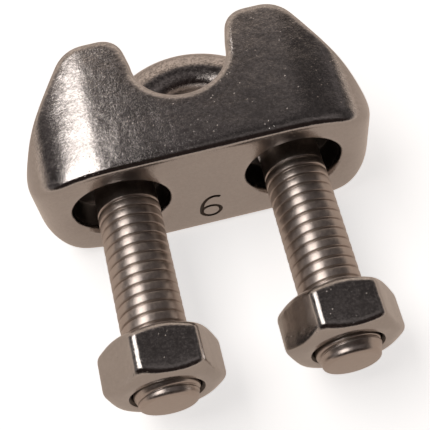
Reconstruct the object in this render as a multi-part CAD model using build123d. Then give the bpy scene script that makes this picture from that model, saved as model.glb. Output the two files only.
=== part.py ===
"""Wire rope clip: cast saddle, U-bolt and two hex nuts, all stainless steel.

Drawn in mm with X across the two legs, Y from the nuts toward the bow and Z along the
rope, about the middle of the saddle's flat foot. placed() then lays the clip on the
rear face of its saddle, with the origin under the middle of its bounding box.
"""
import os
from math import cos, hypot, pi, radians, sin, tan

from build123d import *

# U-bolt, M5 x 0.8
THREAD_D = 4.93          # over the crests
BAR_D = 4.80             # smooth bar of the bow
TIP_CHAMFER = 0.30
LEG_X = 6.65             # half the distance between the legs
THREAD_TOP = 2.2         # where the thread runs out above the saddle's foot
BOW_TOP = 10.45          # crown of the bow, on the bar's centre line
CROWN_R = 5.8            # the bow is an arch of three arcs
CROWN_HALF = 55.0        # half angle of the crown arc, in degrees
TIP_Y = -16.1            # leg ends
BOLT_SHIFT_X = 0.20      # the bolt sits loose in the saddle, to one side
BOLT_SHIFT_Z = -0.30
BOLT_TURN = 3.0          # and a little turned about Y, in degrees

# hex nuts
NUT_AF = 7.95
NUT_H = 4.00
NUT_BORE_D = 5.05
NUT_SINK_D = 5.90
NUT_RING_D = 7.00        # flat ring left inside the chamfer on each face
NUT_CHAMFER = 30.0
NUT_LEFT_TOP = -11.25
NUT_RIGHT_TOP = -10.95
NUT_LEFT_TURN = -9.5     # turn of each hexagon about its leg
NUT_RIGHT_TURN = -3.0

# saddle
SADDLE_T = 11.9          # along the rope
SIDE_X = 13.5            # half width at its widest
SIDE_Y = 3.4
SIDE_R = 3.0             # eased corner at the widest point
SLOPE_X = 12.40          # bend in the outer slope
SLOPE_Y = 6.2
SLOPE_R = 12.0
BEND_X = 8.95            # the two faces first bend gently toward the ends
BEND_R = 10.0
BEND_ANGLE = 21.0
PLAN_X = 13.7            # then turn round them
PLAN_R = 4.6
HORN_Y = 12.12
HORN_OUT_X = 8.65
HORN_OUT_R = 2.8
HORN_IN_X = 4.35
HORN_IN_R = 1.8
BOTTOM_R = 2.8
FACE_R = 0.60            # rounding round the front and rear faces
GROOVE_R = 3.75          # rope seat
GROOVE_Y = 9.25
HOLE_X = 6.85
HOLE_R = 3.70
RIM_R = 0.60
CHANNEL_X = 10.9         # pocket between the two walls, for the bow
CHANNEL_Z = 3.3
CHANNEL_Y = 3.0
BRIM_R = 0.4
RIDGE_R = 3.30           # ridge between the holes that the bow comes down on
RIDGE_TOP = 5.25
STAMP_R = 0.85           # bowl of the size mark
STAMP_SWEEP_R = 3.0      # its rising stroke
STAMP_RISE = 2.2
STAMP_W = 0.30
STAMP_DEPTH = 0.15
STAMP_X = -0.1
STAMP_Z = -3.3


def near(shape_list, x, y):
    """The vertex closest to x, y."""
    return min(shape_list, key=lambda v: hypot(v.X - x, v.Y - y))


def saddle_profile():
    """Front view of the saddle: half outline, mirrored, less the rope seat."""
    corners = [
        (SIDE_X, 0, BOTTOM_R), (SIDE_X, SIDE_Y, SIDE_R), (SLOPE_X, SLOPE_Y, SLOPE_R),
        (HORN_OUT_X, HORN_Y, HORN_OUT_R), (HORN_IN_X, HORN_Y, HORN_IN_R),
    ]
    outline = [(0, 0)] + [(x, y) for x, y, r in corners]
    outline += [(GROOVE_R, GROOVE_Y), (0, GROOVE_Y)]
    half = make_face(Polyline(*outline, close=True))
    for x, y, r in corners:
        half = fillet(near(half.vertices(), x, y), r)
    whole = half + mirror(half, about=Plane.YZ)
    return whole - Pos(0, GROOVE_Y) * Circle(GROOVE_R)


def saddle_plan():
    """Plan of the saddle: flat faces that bend and then turn round the two ends."""
    turn_z = SADDLE_T / 2 - (PLAN_X - BEND_X) * tan(radians(BEND_ANGLE))
    quarter = make_face(Polyline((0, 0), (PLAN_X, 0), (PLAN_X, turn_z),
                                 (BEND_X, SADDLE_T / 2), (0, SADDLE_T / 2), close=True))
    quarter = fillet(near(quarter.vertices(), PLAN_X, turn_z), PLAN_R)
    quarter = fillet(near(quarter.vertices(), BEND_X, SADDLE_T / 2), BEND_R)
    half = quarter + mirror(quarter, about=Plane.YZ)
    return half + mirror(half, about=Plane.XZ)


def bow_channel():
    """Pocket between the two walls, with the ridge the bow seats on left standing."""
    pocket = Pos(0, CHANNEL_Y, 0) * Box(
        2 * CHANNEL_X, 20, 2 * CHANNEL_Z, align=(Align.CENTER, Align.MIN, Align.CENTER))
    return pocket - Pos(0, RIDGE_TOP - RIDGE_R, 0) * Cylinder(RIDGE_R, 3 * CHANNEL_Z)


def size_mark():
    """A figure six sunk in the foot: a round bowl and a curved stroke rising from it."""
    foot = Plane(origin=(STAMP_X, 0, STAMP_Z), x_dir=(1, 0, 0), z_dir=(0, -1, 0))
    bowl = Circle(STAMP_R) - Circle(STAMP_R - STAMP_W)
    stroke_x = STAMP_SWEEP_R - STAMP_R
    stroke = Pos(stroke_x) * (Circle(STAMP_SWEEP_R) - Circle(STAMP_SWEEP_R - STAMP_W))
    window = Rectangle(stroke_x + STAMP_R, STAMP_RISE, align=(Align.MIN, Align.MIN))
    stroke &= Pos(-STAMP_R) * window
    return extrude(foot * (bowl + stroke), STAMP_DEPTH, both=True)


def outline_edges(body):
    """Edges all round the front and rear faces, where they meet the sides."""
    def smooth_seam(e):
        upright = e.geom_type == GeomType.LINE and abs(e.tangent_at(0).Y) > 0.99
        on_face = abs(abs(e.center().Z) - SADDLE_T / 2) < 0.01
        return upright and on_face and abs(e.center().X) > 2 * GROOVE_R

    def across(e):
        return e.geom_type == GeomType.LINE and abs(e.tangent_at(0).Z) > 0.99

    return [e for e in body.edges() if not smooth_seam(e) and not across(e)]


def make_saddle():
    """Cast block with horns, rope seat, two leg holes and the bow's channel."""
    body = extrude(saddle_profile(), SADDLE_T / 2, both=True)
    body &= extrude(Plane.XZ * saddle_plan(), 30, both=True)
    body = fillet(outline_edges(body), FACE_R)
    for side in (-1, 1):
        hole = Plane.XZ * Pos(side * HOLE_X, 0) * Circle(HOLE_R)
        body -= extrude(hole, CHANNEL_Y + 0.5, both=True)
    rims = [e for e in body.edges() if e.geom_type == GeomType.CIRCLE
            and abs(e.center().Y) < 0.01 and abs(e.radius - HOLE_R) < 0.01]
    body = fillet(rims, RIM_R)
    body -= bow_channel()
    brims = [e for e in body.edges() if abs(abs(e.center().Z) - CHANNEL_Z) < 0.01
             and e.center().Y > RIDGE_TOP and e.bounding_box().size.Z < 0.01
             and not (e.geom_type == GeomType.LINE and abs(e.tangent_at(0).Y) > 0.999)]
    body = fillet(brims, BRIM_R)
    return body - size_mark()


def bow_path():
    """Centre line of the bar: crown arc, two wider shoulder arcs, then straight legs."""
    tilt = radians(CROWN_HALF)
    crown_y = BOW_TOP - CROWN_R
    shoulder_r = (LEG_X - CROWN_R * sin(tilt)) / (1 - sin(tilt))
    centre_x = LEG_X - shoulder_r
    centre_y = crown_y + (CROWN_R - shoulder_r) * cos(tilt)
    sweep_angle = 90 - CROWN_HALF
    return (
        Line((LEG_X, 0), (LEG_X, centre_y))
        + CenterArc((centre_x, centre_y), shoulder_r, 0, sweep_angle)
        + CenterArc((0, crown_y), CROWN_R, sweep_angle, 2 * CROWN_HALF)
        + CenterArc((-centre_x, centre_y), shoulder_r, 180 - sweep_angle, sweep_angle)
        + Line((-LEG_X, centre_y), (-LEG_X, 0))
    )


def make_u_bolt():
    """Round bar bent to a bow, with two threaded legs drawn over the crests."""
    start = Plane(origin=(LEG_X, 0, 0), z_dir=(0, 1, 0))
    bolt = sweep(start * Circle(BAR_D / 2), path=bow_path())
    for side in (-1, 1):
        foot = Plane(origin=(side * LEG_X, TIP_Y, 0), z_dir=(0, 1, 0))
        leg = extrude(foot * Circle(THREAD_D / 2), THREAD_TOP - TIP_Y)
        bolt += chamfer(leg.edges().sort_by(Axis.Y)[0], TIP_CHAMFER)
    return bolt


def make_nut(leg_side, top, turn):
    """Hex nut chamfered on both faces, with a plain bore countersunk at both ends."""
    axis_plane = Plane(origin=(leg_side * LEG_X, top, 0), x_dir=(1, 0, 0), z_dir=(0, -1, 0))
    nut = extrude(RegularPolygon(NUT_AF / 2, 6, major_radius=False, rotation=turn), NUT_H)
    corner = NUT_AF / 2 / cos(pi / 6)
    rise = (corner - NUT_RING_D / 2) * tan(radians(NUT_CHAMFER))
    section = Polyline((0, 0), (NUT_RING_D / 2, 0), (corner, rise), (corner, NUT_H - rise),
                       (NUT_RING_D / 2, NUT_H), (0, NUT_H), close=True)
    nut &= revolve(Plane.XZ * make_face(section), Axis.Z)
    nut -= Cylinder(NUT_BORE_D / 2, 3 * NUT_H)
    sink = (NUT_SINK_D - NUT_BORE_D) / 2
    nut -= Cone(NUT_SINK_D / 2, NUT_BORE_D / 2, sink, align=(Align.CENTER, Align.CENTER, Align.MIN))
    nut -= Pos(0, 0, NUT_H) * Cone(NUT_BORE_D / 2, NUT_SINK_D / 2, sink,
                                   align=(Align.CENTER, Align.CENTER, Align.MAX))
    return axis_plane * nut


def placed(parts):
    """Set the bolt in its loose place, then lay the clip on its back at the origin."""
    loose = Pos(BOLT_SHIFT_X, 0, BOLT_SHIFT_Z) * Rot(0, BOLT_TURN, 0)
    top = max(HORN_Y, BOW_TOP + BAR_D / 2)
    bench = Pos(0, -(top + TIP_Y) / 2, SADDLE_T / 2)
    return {name: bench * (shape if name == "saddle" else loose * shape)
            for name, shape in parts.items()}


PARTS = {
    "saddle": make_saddle(),
    "u_bolt": make_u_bolt(),
    "nut_left": make_nut(-1, NUT_LEFT_TOP, NUT_LEFT_TURN),
    "nut_right": make_nut(1, NUT_RIGHT_TOP, NUT_RIGHT_TURN),
}

os.makedirs("parts", exist_ok=True)
for name, shape in placed(PARTS).items():
    export_step(shape, f"parts/{name}.step")
    box = shape.bounding_box()
    print(name, len(shape.solids()), "solid(s),", round(shape.volume, 1), "mm3,",
          [round(c, 2) for c in (*box.min, *box.max)])
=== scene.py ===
from math import atan2, ceil, cos, degrees, floor, hypot, pi, radians, sin, sqrt, tan

import bmesh
import bpy
import numpy as np
from mathutils import Matrix, Vector


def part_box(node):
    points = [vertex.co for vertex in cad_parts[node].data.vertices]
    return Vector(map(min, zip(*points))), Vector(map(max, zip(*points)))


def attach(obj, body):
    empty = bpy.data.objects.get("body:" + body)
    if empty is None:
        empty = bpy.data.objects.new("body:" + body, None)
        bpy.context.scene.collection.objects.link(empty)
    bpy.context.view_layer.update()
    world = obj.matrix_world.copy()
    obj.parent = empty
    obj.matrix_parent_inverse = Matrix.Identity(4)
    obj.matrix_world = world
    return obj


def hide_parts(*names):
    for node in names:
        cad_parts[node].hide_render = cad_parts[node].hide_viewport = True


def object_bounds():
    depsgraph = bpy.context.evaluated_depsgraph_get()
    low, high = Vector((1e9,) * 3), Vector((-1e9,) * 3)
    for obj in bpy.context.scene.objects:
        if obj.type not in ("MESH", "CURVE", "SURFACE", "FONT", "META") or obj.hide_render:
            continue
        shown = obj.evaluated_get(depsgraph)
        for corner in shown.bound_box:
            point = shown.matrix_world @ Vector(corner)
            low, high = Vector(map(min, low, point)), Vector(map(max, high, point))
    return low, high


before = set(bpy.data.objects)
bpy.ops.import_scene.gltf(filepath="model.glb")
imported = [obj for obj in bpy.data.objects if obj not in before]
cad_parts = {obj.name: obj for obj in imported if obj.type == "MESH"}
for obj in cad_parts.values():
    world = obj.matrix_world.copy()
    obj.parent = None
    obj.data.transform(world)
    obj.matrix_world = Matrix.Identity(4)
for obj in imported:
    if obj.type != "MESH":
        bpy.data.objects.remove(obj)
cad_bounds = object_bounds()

MM = 0.001

# U-bolt, M5 x 0.8
PITCH = 0.8
THREAD_DEPTH = 0.20      # worn by tumbling: broad crests and narrow grooves
GROOVE_SHARE = 0.30      # share of the pitch that the groove takes
CREST_DROP = 0.025       # rounding of the crests
CREST_R = 2.45
TIP_R = 2.20             # leg ends, before the crests reach full height
TIP_ROUND = 0.35
CREST_RISE = 1.1         # length over which the crests grow from the leg end
THREAD_TOP = 16.5        # length of the threaded part
RUN_OUT = 0.9
BAR_R = 2.40
LEG_X = 6.65
CROWN_R = 5.8
CROWN_HALF = 55.0        # half angle of the crown arc
BOLT_TURN = 3.0          # turn of the bolt about Y in the saddle
BOW_FROM_Y = 7.0         # where the polished bow takes over from the satin legs
RINGS_PER_PITCH = 20
RING_POINTS = 80

# saddle
HOLE_X = 6.85
HOLE_R = 3.70
POCKET_X = 10.95         # half width and half depth of the bow's pocket
POCKET_Z = 3.35
RECESS_PAINTED_SHADE = (0.07, 0.06, 0.055)   # painted shade: near-black colour inside the holes and the channel, where the steel is also left unpolished and rough
VOXEL = 0.12
SMOOTH_PASSES = 60
FOOT_SMOOTH = 0.03       # share of each pass taken at the foot, above it and at the ends
UPPER_SMOOTH = 0.08
END_SMOOTH = 0.50
RIM_SMOOTH = 0.55        # round the mouths of the leg holes
EDGE_SMOOTH = 0.28       # along the foot's front and rear edges
MARK_R = 0.78            # bowl of the stamped figure, on its middle line
MARK_REACH = 1.15        # its rising stroke is part of an ellipse
MARK_RISE = 2.15
MARK_W = 0.32
MARK_DEPTH = 0.16
MARK_HALF = 1.5          # half width and lower end of the patch that holds the figure
MARK_BELOW = 1.2
MARK_X = -0.1
MARK_Z = -3.3

# hex nuts
NUT_AF = 7.95
NUT_BORE_R = 2.525
NUT_SINK_R = 2.80
NUT_RING_R = 3.50
NUT_CHAMFER = 30.0
NUT_CORNER_R = 0.80      # rounding of the six upright corners
NUT_EASE = 0.10          # rounding of the bore's edges
NUT_SOFT = 0.42          # and of the chamfers
NUT_TURNS = {"nut_left": -9.5, "nut_right": -3.0}

# camera
LENS = 85.6
CAMERA_REACH = 78.28
CAMERA_AZIMUTH = 4.24
CAMERA_ELEVATION = 62.0
CAMERA_ROLL = -9.71
CAMERA_AIM = (-0.06, -0.62)   # aim point beside the middle of the object

# studio
SOFTBOX_HEIGHT = 390.0
ROOM_DARK = (0.115, 0.103, 0.101)
FRONT_DARK = (0.030, 0.021, 0.019)
WARM_PAPER = (0.75, 0.63, 0.54)
PAPER_GLOW = 0.60
FLOOR_GLOW = 0.72
SOFTBOX_SIZE = (250, 400)
SOFTBOX_AT = (-195, 115)
SOFTBOX_POWER = 1.0


def smooth(x, low, high):
    """Smooth step from 0 at low to 1 at high."""
    t = min(1.0, max(0.0, (x - low) / (high - low)))
    return t * t * (3 - 2 * t)


def middle(node):
    """Middle of a CAD node's box, in mm."""
    low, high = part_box(node)
    return (low + high) / (2 * MM)


def skin(name, rings, capped):
    """Mesh through rings of points in mm, either capped at both ends or closed on itself."""
    count = len(rings[0])
    verts = [Vector(p) * MM for ring in rings for p in ring]
    spans = len(rings) - 1 if capped else len(rings)
    faces = []
    for k in range(spans):
        here, there = k * count, (k + 1) % len(rings) * count
        faces += [(here + i, here + (i + 1) % count, there + (i + 1) % count, there + i)
                  for i in range(count)]
    if capped:
        last = (len(rings) - 1) * count
        faces.append(tuple(reversed(range(count))))
        faces.append(tuple(range(last, last + count)))
    mesh = bpy.data.meshes.new(name)
    mesh.from_pydata(verts, [], faces)
    mesh.polygons.foreach_set("use_smooth", [True] * len(faces))
    mesh.validate()
    obj = bpy.data.objects.new(name, mesh)
    bpy.context.scene.collection.objects.link(obj)
    return obj


# ---------------------------------------------------------------- saddle

def remeshed(source, name):
    """Even fine mesh of a CAD node, worked in mm."""
    mesh = source.data.copy()
    mesh.transform(Matrix.Scale(1 / MM, 4))
    obj = bpy.data.objects.new(name, mesh)
    bpy.context.scene.collection.objects.link(obj)
    voxels = obj.modifiers.new("voxels", "REMESH")
    voxels.mode = "VOXEL"
    voxels.voxel_size = VOXEL
    result = obj.evaluated_get(bpy.context.evaluated_depsgraph_get())
    fine = bpy.data.meshes.new_from_object(result)
    obj.modifiers.clear()
    obj.data = fine
    return obj


def points_of(mesh):
    """Vertex places as an array."""
    flat = np.empty(3 * len(mesh.vertices))
    mesh.vertices.foreach_get("co", flat)
    return flat.reshape(-1, 3)


def softened(points, edges, share):
    """Points after repeated averaging with their neighbours."""
    ends = np.concatenate([edges[:, 0], edges[:, 1]])
    others = np.concatenate([edges[:, 1], edges[:, 0]])
    count = np.bincount(ends, minlength=len(points))[:, None]
    for _ in range(SMOOTH_PASSES):
        around = np.stack([np.bincount(ends, points[others, k], len(points)) for k in range(3)], 1)
        points = points + share[:, None] * (around / count - points)
    return points


def mark_distance(x, z):
    """Distance from the middle line of the stamped figure six."""
    bowl = np.abs(np.hypot(x, z) - MARK_R)
    turn = np.radians(np.linspace(70, 185, 60))
    stroke_x = MARK_REACH - MARK_R + MARK_REACH * np.cos(turn)
    stroke_z = MARK_RISE * np.sin(turn)
    stroke = np.hypot(x[:, None] - stroke_x, z[:, None] - stroke_z).min(axis=1)
    return np.minimum(bowl, stroke)


def make_saddle(cast, stamped):
    """Cast saddle: the CAD shape with its edges softened by tumbling, and the stamped figure."""
    low, high = (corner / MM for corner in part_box("saddle"))
    obj = remeshed(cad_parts["saddle"], "cast_saddle")
    middle_z = (low.z + high.z) / 2
    mark = Vector((MARK_X, 0, middle_z + MARK_Z))
    points = points_of(obj.data)
    edges = np.array([e.vertices[:] for e in obj.data.edges])
    rise = np.clip((points[:, 1] - low.y - 0.5) / 2.5, 0, 1)
    share = FOOT_SMOOTH + (UPPER_SMOOTH - FOOT_SMOOTH) * rise
    ends = np.clip((np.abs(points[:, 0]) - 8.5) / 4, 0, 1) * (1 - 0.7 * rise)
    share += (END_SMOOTH - share) * ends
    mouth = np.hypot(np.abs(points[:, 0]) - HOLE_X, points[:, 2] - middle_z) - HOLE_R
    at_rim = (np.abs(mouth - 0.3) < 1.0) & (points[:, 1] < low.y + 1.3)
    share[at_rim] = np.maximum(share[at_rim], RIM_SMOOTH)
    at_edge = (np.abs(points[:, 2] - middle_z) > 5.0) & (points[:, 1] < low.y + 1.2)
    share[at_edge] = np.maximum(share[at_edge], EDGE_SMOOTH)
    points = softened(points, edges, share)
    obj.data.vertices.foreach_set("co", points.ravel())
    near_mark = [f.index for f in obj.data.polygons
                 if abs(f.center.x - mark.x) < 1.6 and f.center.y < low.y + 0.6
                 and -1.3 < f.center.z - mark.z < MARK_RISE + 0.4]
    refine(obj.data, near_mark)
    points = points_of(obj.data)
    x, z = points[:, 0] - mark.x, points[:, 2] - mark.z
    flat = (np.abs(x) < MARK_HALF) & (z > -MARK_BELOW) & (z < MARK_RISE + 0.3)
    flat &= points[:, 1] < low.y + 0.5
    depth = 1 - np.clip(mark_distance(x[flat], z[flat]) / (MARK_W / 2), 0, 1) ** 2
    points[flat, 1] = low.y + MARK_DEPTH * depth
    points = np.clip(points, np.array(low), np.array(high))
    obj.data.vertices.foreach_set("co", (points * MM).ravel())
    obj.data.polygons.foreach_set("use_smooth", [True] * len(obj.data.polygons))
    obj.data.update()
    obj.data.materials.clear()
    obj.data.materials.append(cast)
    obj.data.materials.append(stamped)
    # faces sunk into the stamped figure get the near-black steel: painted shade, with some dirt, in its
    # grooves
    for face in obj.data.polygons:
        x, y, z = face.center / MM - Vector((mark.x, low.y, mark.z))
        in_patch = abs(x) < MARK_HALF and -MARK_BELOW < z < MARK_RISE + 0.3
        if in_patch and 0.02 < y < 0.3:
            face.material_index = 1
    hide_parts("saddle")
    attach(obj, "saddle")


def refine(mesh, faces):
    """Cut some faces of a mesh finer, for small detail."""
    work = bmesh.new()
    work.from_mesh(mesh)
    work.faces.ensure_lookup_table()
    edges = {e for k in faces for e in work.faces[k].edges}
    bmesh.ops.subdivide_edges(work, edges=list(edges), cuts=3, use_grid_fill=True)
    work.to_mesh(mesh)
    work.free()


# ---------------------------------------------------------------- U-bolt

def half_path(tip_y, top_y):
    """Stations from the right leg's end up to the crown: x, y, heading, length from the end."""
    tilt = radians(CROWN_HALF)
    crown_y = top_y - BAR_R - CROWN_R
    shoulder_r = (LEG_X - CROWN_R * sin(tilt)) / (1 - sin(tilt))
    spring_y = crown_y + (CROWN_R - shoulder_r) * cos(tilt)
    ends = [TIP_ROUND * (1 - cos(radians(a))) for a in range(0, 90, 10)]
    step = PITCH / RINGS_PER_PITCH
    ends += [TIP_ROUND + k * step for k in range(ceil((THREAD_TOP - TIP_ROUND) / step))]
    ends += [THREAD_TOP + 0.3 * k for k in range(ceil((spring_y - tip_y - THREAD_TOP) / 0.3))]
    stations = [(LEG_X, tip_y + s, 90.0, s) for s in ends]
    length = spring_y - tip_y
    bend = 90 - CROWN_HALF
    for k in range(9):
        a = radians(bend * k / 9)
        stations.append((LEG_X - shoulder_r * (1 - cos(a)), spring_y + shoulder_r * sin(a),
                         90 + degrees(a), length + shoulder_r * a))
    for k in range(19):
        a = radians(bend + CROWN_HALF * k / 18)
        stations.append((CROWN_R * cos(a), crown_y + CROWN_R * sin(a), 90 + degrees(a),
                         length + shoulder_r * radians(bend) + CROWN_R * (a - radians(bend))))
    return stations


def bolt_radius(s, turn):
    """Radius at length s from a leg's end, where turn is the helix phase in whole turns."""
    if s < TIP_ROUND:
        return TIP_R - TIP_ROUND + sqrt(TIP_ROUND ** 2 - (TIP_ROUND - s) ** 2)
    crest = TIP_R + (CREST_R - TIP_R) * smooth(s, TIP_ROUND, CREST_RISE)
    crest += (BAR_R - CREST_R) * smooth(s, THREAD_TOP - RUN_OUT, THREAD_TOP)
    wave = abs(2 * (turn - floor(turn)) - 1)
    groove = THREAD_DEPTH * (1 - smooth(wave, 0.0, GROOVE_SHARE)) + CREST_DROP * (1 - wave) ** 2
    fade = smooth(s, TIP_ROUND, 0.9) * (1 - smooth(s, THREAD_TOP - RUN_OUT, THREAD_TOP))
    return crest - groove * fade


def make_u_bolt(legs, bow):
    """Bar bent to a bow, with a right-hand thread on both legs."""
    low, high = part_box("u_bolt")
    half = half_path(low.y / MM, high.y / MM)
    right = [(x, y, heading, s, 1) for x, y, heading, s in half]
    left = [(-x, y, 360 - heading, s, -1) for x, y, heading, s in reversed(half[:-1])]
    centre = middle("u_bolt")
    place = Matrix.Translation((centre.x, 0, centre.z)) @ Matrix.Rotation(
        radians(BOLT_TURN), 4, "Y")
    rings = []
    for x, y, heading, s, way in right + left:
        out = Vector((sin(radians(heading)), -cos(radians(heading)), 0))
        ring = []
        for i in range(RING_POINTS):
            a = 2 * pi * i / RING_POINTS
            r = bolt_radius(s, way * s / PITCH - i / RING_POINTS)
            ring.append(place @ (Vector((x, y, 0)) + r * (cos(a) * out - sin(a) * Vector((0, 0, 1)))))
        rings.append(ring)
    bolt = skin("threaded_u_bolt", rings, capped=True)
    bolt.data.materials.append(legs)
    bolt.data.materials.append(bow)
    for face in bolt.data.polygons:
        face.material_index = int(face.center.y / MM > BOW_FROM_Y)
    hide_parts("u_bolt")
    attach(bolt, "u_bolt")


# ---------------------------------------------------------------- nuts

def hexagon(turn):
    """Rounded hexagon about the origin, as polar points (angle, radius)."""
    flat = NUT_AF / 2
    reach = (flat - NUT_CORNER_R) / cos(pi / 6)
    points = []
    for corner in range(6):
        middle_a = radians(turn + 60 * corner)
        for k in range(9):
            a = middle_a + radians(-30 + 60 * k / 8)
            x = reach * cos(middle_a) + NUT_CORNER_R * cos(a)
            y = reach * sin(middle_a) + NUT_CORNER_R * sin(a)
            points.append((atan2(y, x), hypot(x, y)))
        edge = (flat - NUT_CORNER_R) * tan(pi / 6)
        for k in range(1, 12):
            face_a = middle_a + pi / 6
            along = edge * (2 * k / 12 - 1)
            x = flat * cos(face_a) - along * sin(face_a)
            y = flat * sin(face_a) + along * cos(face_a)
            points.append((atan2(y, x), hypot(x, y)))
    return points


def eased(corners):
    """Closed outline with each corner (x, y, reach) eased by a short curve."""
    outline = []
    for k, (x, y, reach) in enumerate(corners):
        here = Vector((x, y))
        before = Vector(corners[k - 1][:2]) - here
        after = Vector(corners[(k + 1) % len(corners)][:2]) - here
        start = here + before.normalized() * min(reach, before.length * 0.45)
        end = here + after.normalized() * min(reach, after.length * 0.45)
        for t in (0, 0.17, 0.33, 0.5, 0.67, 0.83, 1):
            outline.append(start * (1 - t) ** 2 + here * 2 * t * (1 - t) + end * t ** 2)
    return outline


def make_nut(node, outside, bore):
    """Hex nut with rounded corners, chamfered faces and a countersunk bore."""
    low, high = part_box(node)
    centre = middle(node)
    bottom, top = low.y / MM, high.y / MM
    sink = NUT_SINK_R - NUT_BORE_R
    columns = []
    for angle, radius in hexagon(NUT_TURNS[node]):
        rise = (radius - NUT_RING_R) * tan(radians(NUT_CHAMFER))
        lower = [(NUT_BORE_R, bottom + sink, NUT_EASE), (NUT_SINK_R, bottom, NUT_EASE),
                 (NUT_RING_R, bottom, NUT_SOFT), (radius, bottom + rise, NUT_SOFT)]
        upper = [(r, bottom + top - y, reach) for r, y, reach in reversed(lower)]
        section = eased(lower + upper)
        around = angle - radians(BOLT_TURN)
        columns.append([(centre.x + r * cos(around), y, centre.z + r * sin(around))
                        for r, y in section])
    nut = skin(node.replace("nut", "hex_nut"), [list(ring) for ring in zip(*columns)], capped=False)
    nut.data.materials.append(outside)
    nut.data.materials.append(bore)
    # bore and countersink faces get the near-black steel: painted shade inside the nut
    for face in nut.data.polygons:
        reach = hypot(face.center.x / MM - centre.x, face.center.z / MM - centre.z)
        face.material_index = int(reach < NUT_SINK_R - 0.05)
    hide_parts(node)
    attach(nut, node)


# ---------------------------------------------------------------- materials

class Nodes:
    """Small helper that adds nodes to one tree and links them by name."""

    def __init__(self, tree):
        self.tree = tree

    def add(self, kind, **values):
        node = self.tree.nodes.new(kind)
        for key, value in values.items():
            name = key.replace("_", " ")
            if hasattr(node, key):
                setattr(node, key, value)
            elif isinstance(value, bpy.types.NodeSocket):
                self.tree.links.new(value, node.inputs[name])
            else:
                node.inputs[name].default_value = value
        return node

    def grain(self, where, scale, detail=3.0, roughness=0.55, distortion=0.0):
        noise = self.add("ShaderNodeTexNoise", Vector=where, Scale=scale, Detail=detail,
                         Roughness=roughness, Distortion=distortion)
        return noise.outputs["Fac"]

    def ramp(self, value, low, high, start, end):
        node = self.add("ShaderNodeMapRange", Value=value)
        node.interpolation_type = "SMOOTHSTEP"
        for name, number in (("From Min", low), ("From Max", high),
                             ("To Min", start), ("To Max", end)):
            node.inputs[name].default_value = number
        return node.outputs["Result"]

    def maths(self, operation, a, b):
        node = self.tree.nodes.new("ShaderNodeMath")
        node.operation = operation
        for socket, value in zip(node.inputs, (a, b)):
            if isinstance(value, bpy.types.NodeSocket):
                self.tree.links.new(value, socket)
            else:
                socket.default_value = value
        return node.outputs[0]

    def bump(self, height, strength, distance, normal=None):
        node = self.add("ShaderNodeBump", Height=height, Strength=strength, Distance=distance)
        if normal:
            self.tree.links.new(normal, node.inputs["Normal"])
        return node.outputs["Normal"]


def recess_shade_mask(n, place):
    """Mask for painted shade: 1 inside the saddle's leg holes and the bow's pocket, which are also left
    rougher where polishing never reached.
    """
    low, high = (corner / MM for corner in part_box("saddle"))
    split = n.add("ShaderNodeSeparateXYZ", Vector=place)
    x, y = split.outputs["X"], split.outputs["Y"]
    z = n.maths("SUBTRACT", split.outputs["Z"], (low.z + high.z) / 2)
    reach = n.maths("ABSOLUTE", x, 0.0)
    side = n.maths("SUBTRACT", reach, HOLE_X)
    across = n.maths("SQRT", n.maths("ADD", n.maths("MULTIPLY", side, side),
                                     n.maths("MULTIPLY", z, z)), 0.0)
    hole = n.maths("MULTIPLY", n.ramp(across, HOLE_R - 0.05, HOLE_R + 0.10, 1.0, 0.0),
                   n.ramp(y, low.y + 0.35, low.y + 0.65, 0.0, 1.0))
    span = n.maths("MULTIPLY", n.ramp(reach, 3.6, 4.2, 0.0, 1.0),
                   n.ramp(reach, POCKET_X, POCKET_X + 0.2, 1.0, 0.0))
    depth = n.maths("MULTIPLY", n.ramp(y, low.y + 2.6, low.y + 2.9, 0.0, 1.0),
                    n.ramp(n.maths("ABSOLUTE", z, 0.0), POCKET_Z, POCKET_Z + 0.15, 1.0, 0.0))
    return n.maths("MAXIMUM", hole, n.maths("MULTIPLY", span, depth))


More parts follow.
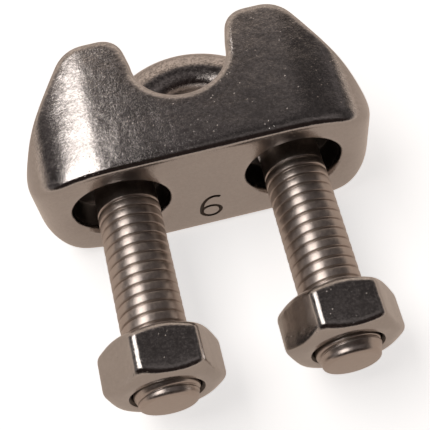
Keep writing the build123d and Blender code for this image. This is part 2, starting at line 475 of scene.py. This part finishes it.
def steel(name, tint, shade, polish, dull, wave, pits, relief, shade_recesses=False):
    """Tumbled and polished stainless steel with fine scratches, pits and soft waves."""
    mat = bpy.data.materials.new(name)
    mat.use_nodes = True
    tree = mat.node_tree
    tree.nodes.clear()
    n = Nodes(tree)
    where = n.add("ShaderNodeTexCoord").outputs["Object"]
    in_mm = n.add("ShaderNodeVectorMath", operation="SCALE", Vector=where, Scale=1 / MM)
    place = in_mm.outputs["Vector"]
    speck = n.grain(place, 5.5, detail=5.0, roughness=0.75)
    cloud = n.grain(place, 0.35, detail=2.0)
    stretched = n.add("ShaderNodeMapping", Vector=place, Rotation=(0.3, 0.5, 0.9),
                      Scale=(0.6, 14.0, 6.0))
    scratch = n.grain(stretched.outputs["Vector"], 1.0, detail=2.0, distortion=0.6)
    lines = n.ramp(scratch, 0.62, 0.74, 0.0, 1.0)
    cells = n.add("ShaderNodeTexVoronoi", Vector=place, Scale=2.6, Randomness=1.0)
    dot = n.ramp(cells.outputs["Distance"], 0.05, 0.16, 1.0, 0.0)
    sparse = n.ramp(n.grain(place, 0.9, detail=1.0), 0.50, 0.62, 0.0, 1.0)
    pit = n.maths("MULTIPLY", dot, sparse)
    mottle = n.grain(place, 3.2, detail=3.0, roughness=0.65, distortion=0.4)
    tone = n.maths("ADD", n.maths("MULTIPLY", cloud, 0.2), n.maths("MULTIPLY", speck, 0.45))
    tone = n.ramp(n.maths("ADD", tone, n.maths("MULTIPLY", mottle, 0.35)), 0.42, 0.60, 0.0, 1.0)
    normal = n.add("ShaderNodeNewGeometry").outputs["Normal"]
    upright = n.maths("ABSOLUTE", n.add("ShaderNodeSeparateXYZ", Vector=normal).outputs["Z"], 0.0)
    level = n.ramp(upright, 0.60, 0.90, 0.15, 1.0)
    tone = n.maths("ADD", n.maths("MULTIPLY", n.maths("SUBTRACT", tone, 0.5), level), 0.5)
    colour = n.add("ShaderNodeMix", data_type="RGBA", Factor=tone)
    colour.inputs["A"].default_value = (*shade, 1)
    colour.inputs["B"].default_value = (*tint, 1)
    rough = n.maths("ADD", n.ramp(speck, 0.35, 0.70, polish, dull),
                    n.maths("MULTIPLY", lines, 0.05))
    rough = n.maths("ADD", rough, n.maths("MULTIPLY", pit, 0.15))
    # painted shade: the holes and the pocket are coloured near black, and made rougher as unpolished
    # steel
    if shade_recesses:
        inside = recess_shade_mask(n, place)
        dark = n.add("ShaderNodeMix", data_type="RGBA", Factor=inside)
        tree.links.new(colour.outputs["Result"], dark.inputs["A"])
        dark.inputs["B"].default_value = (*RECESS_PAINTED_SHADE, 1)
        colour = dark
        rough = n.maths("ADD", rough, n.maths("MULTIPLY", inside, 0.35))
    waves = n.bump(n.grain(place, 0.55, detail=1.5), wave, 0.0006)
    fine = n.bump(speck, relief, 0.00002, waves)
    dented = n.bump(mottle, relief / 5, 0.00006, fine)
    scored = n.bump(lines, relief / 8, 0.00002, dented)
    pitted = n.bump(n.maths("SUBTRACT", 1.0, pit), pits, 0.00003, scored)
    shader = n.add("ShaderNodeBsdfPrincipled", Roughness=rough, Normal=pitted, Metallic=1.0)
    tree.links.new(colour.outputs["Result"], shader.inputs["Base Color"])
    out = n.add("ShaderNodeOutputMaterial")
    tree.links.new(shader.outputs["BSDF"], out.inputs["Surface"])
    return mat


def plain(name, colour, glow=0.0):
    """Even matt surface for the floor and the studio cards, with a little glow."""
    mat = bpy.data.materials.new(name)
    mat.use_nodes = True
    shader = mat.node_tree.nodes["Principled BSDF"]
    shader.inputs["Base Color"].default_value = (*colour, 1)
    shader.inputs["Roughness"].default_value = 0.9
    shader.inputs["Specular IOR Level"].default_value = 0.0
    shader.inputs["Emission Color"].default_value = (*colour, 1)
    shader.inputs["Emission Strength"].default_value = glow
    return mat


# ---------------------------------------------------------------- studio

def sheet(name, centre, size, material, seen=True):
    """Flat level rectangle in mm, seen either by the camera alone or only by the object."""
    x, y, z = centre
    w, d = size[0] / 2, size[1] / 2
    mesh = bpy.data.meshes.new(name)
    corners = [(x - w, y - d, z), (x + w, y - d, z), (x + w, y + d, z), (x - w, y + d, z)]
    mesh.from_pydata([Vector(c) * MM for c in corners], [], [(0, 1, 2, 3)])
    mesh.materials.append(material)
    obj = bpy.data.objects.new(name, mesh)
    bpy.context.scene.collection.objects.link(obj)
    obj.visible_camera = seen
    obj.visible_glossy = not seen
    obj.visible_diffuse = not seen


def surroundings():
    """Warm paper low down all round and beyond the bow, under a dark uneven room."""
    world = bpy.data.worlds.new("surroundings")
    bpy.context.scene.world = world
    world.use_nodes = True
    n = Nodes(world.node_tree)
    where = n.add("ShaderNodeTexCoord").outputs["Generated"]
    split = n.add("ShaderNodeSeparateXYZ", Vector=where)
    high = n.ramp(split.outputs["Z"], 0.10, 0.24, 0.0, 1.0)
    front = n.ramp(split.outputs["Y"], 0.60, 0.74, 1.0, 0.0)
    room = n.add("ShaderNodeMix", data_type="RGBA", Factor=n.maths("MULTIPLY", high, front))
    room.inputs["A"].default_value = (*WARM_PAPER, 1)
    patches = n.ramp(n.grain(where, 3.0, detail=2.0), 0.40, 0.62, 0.0, 1.0)
    ceiling = n.add("ShaderNodeMix", data_type="RGBA", Factor=patches)
    ceiling.inputs["A"].default_value = (*[0.5 * c for c in ROOM_DARK], 1)
    ceiling.inputs["B"].default_value = (*[1.7 * c for c in ROOM_DARK], 1)
    n.tree.links.new(ceiling.outputs["Result"], room.inputs["B"])
    behind = n.maths("MULTIPLY", n.ramp(split.outputs["Y"], -0.50, -0.05, 1.0, 0.0),
                     n.ramp(split.outputs["Z"], 0.05, 0.35, 0.0, 1.0))
    mix = n.add("ShaderNodeMix", data_type="RGBA", Factor=behind)
    n.tree.links.new(room.outputs["Result"], mix.inputs["A"])
    mix.inputs["B"].default_value = (*FRONT_DARK, 1)
    background = world.node_tree.nodes["Background"]
    world.node_tree.links.new(mix.outputs["Result"], background.inputs["Color"])


def studio():
    """Pale floor, warm surroundings and one softbox overhead."""
    sheet("floor", (0, 0, 0), (6000, 6000), plain("floor_white", (0.9, 0.9, 0.9), FLOOR_GLOW))
    sheet("warm_paper", (0, 0, -0.02), (6000, 6000), plain("warm_paper", WARM_PAPER, PAPER_GLOW),
          seen=False)
    surroundings()
    lamp = bpy.data.lights.new("softbox", "AREA")
    lamp.shape = "RECTANGLE"
    lamp.size = SOFTBOX_SIZE[0] * MM
    lamp.size_y = SOFTBOX_SIZE[1] * MM
    lamp.energy = SOFTBOX_POWER
    lamp.color = (1.0, 0.95, 0.91)
    box = bpy.data.objects.new("softbox", lamp)
    box.location = Vector((*SOFTBOX_AT, SOFTBOX_HEIGHT)) * MM
    bpy.context.scene.collection.objects.link(box)
    box.visible_camera = False


def camera():
    """Camera above the leg ends, looking down at the middle of the object."""
    low, high = (Vector(corner) / MM for corner in cad_bounds)
    aim = (low + high) / 2 + Vector((*CAMERA_AIM, 0))
    az, el = radians(CAMERA_AZIMUTH), radians(CAMERA_ELEVATION)
    ahead = Vector((sin(az) * cos(el), cos(az) * cos(el), -sin(el)))
    data = bpy.data.cameras.new("camera")
    data.lens = LENS
    data.sensor_width = 36
    data.clip_start = 0.001
    data.clip_end = 20
    obj = bpy.data.objects.new("camera", data)
    turn = ahead.to_track_quat("-Z", "Y").to_matrix() @ Matrix.Rotation(
        radians(CAMERA_ROLL), 3, "Z")
    obj.matrix_world = Matrix.Translation((aim - ahead * CAMERA_REACH) * MM) @ turn.to_4x4()
    bpy.context.scene.collection.objects.link(obj)
    bpy.context.scene.camera = obj
    bpy.context.scene.view_settings.view_transform = "Standard"


# name, tint, shade, polish, dull, wave, pits, relief
# cast steel, with painted shade in the saddle's leg holes and the bow's pocket
cast = steel("cast_steel", (0.57, 0.54, 0.525), (0.36, 0.34, 0.33), 0.04, 0.12, 0.06, 0.5,
             0.45, shade_recesses=True)
# near-black steel: painted shade, with some dirt, in the stamped figure's grooves, and painted shade in
# the nut bores and countersinks
stamped = steel("painted_shade_steel", (0.09, 0.075, 0.065), (0.05, 0.042, 0.036), 0.35, 0.5, 0.0, 0.1, 0.1)
drawn = steel("drawn_steel", (0.56, 0.50, 0.46), (0.45, 0.40, 0.37), 0.28, 0.40, 0.01, 0.2, 0.15)
bent = steel("bent_steel", (0.58, 0.54, 0.52), (0.26, 0.24, 0.23), 0.08, 0.20, 0.03, 0.4, 0.50)
machined = steel("machined_steel", (0.56, 0.53, 0.515), (0.38, 0.36, 0.345), 0.08, 0.24, 0.12, 0.5, 0.50)

make_saddle(cast, stamped)
make_u_bolt(drawn, bent)
for nut_node in NUT_TURNS:
    make_nut(nut_node, machined, stamped)
studio()
camera()
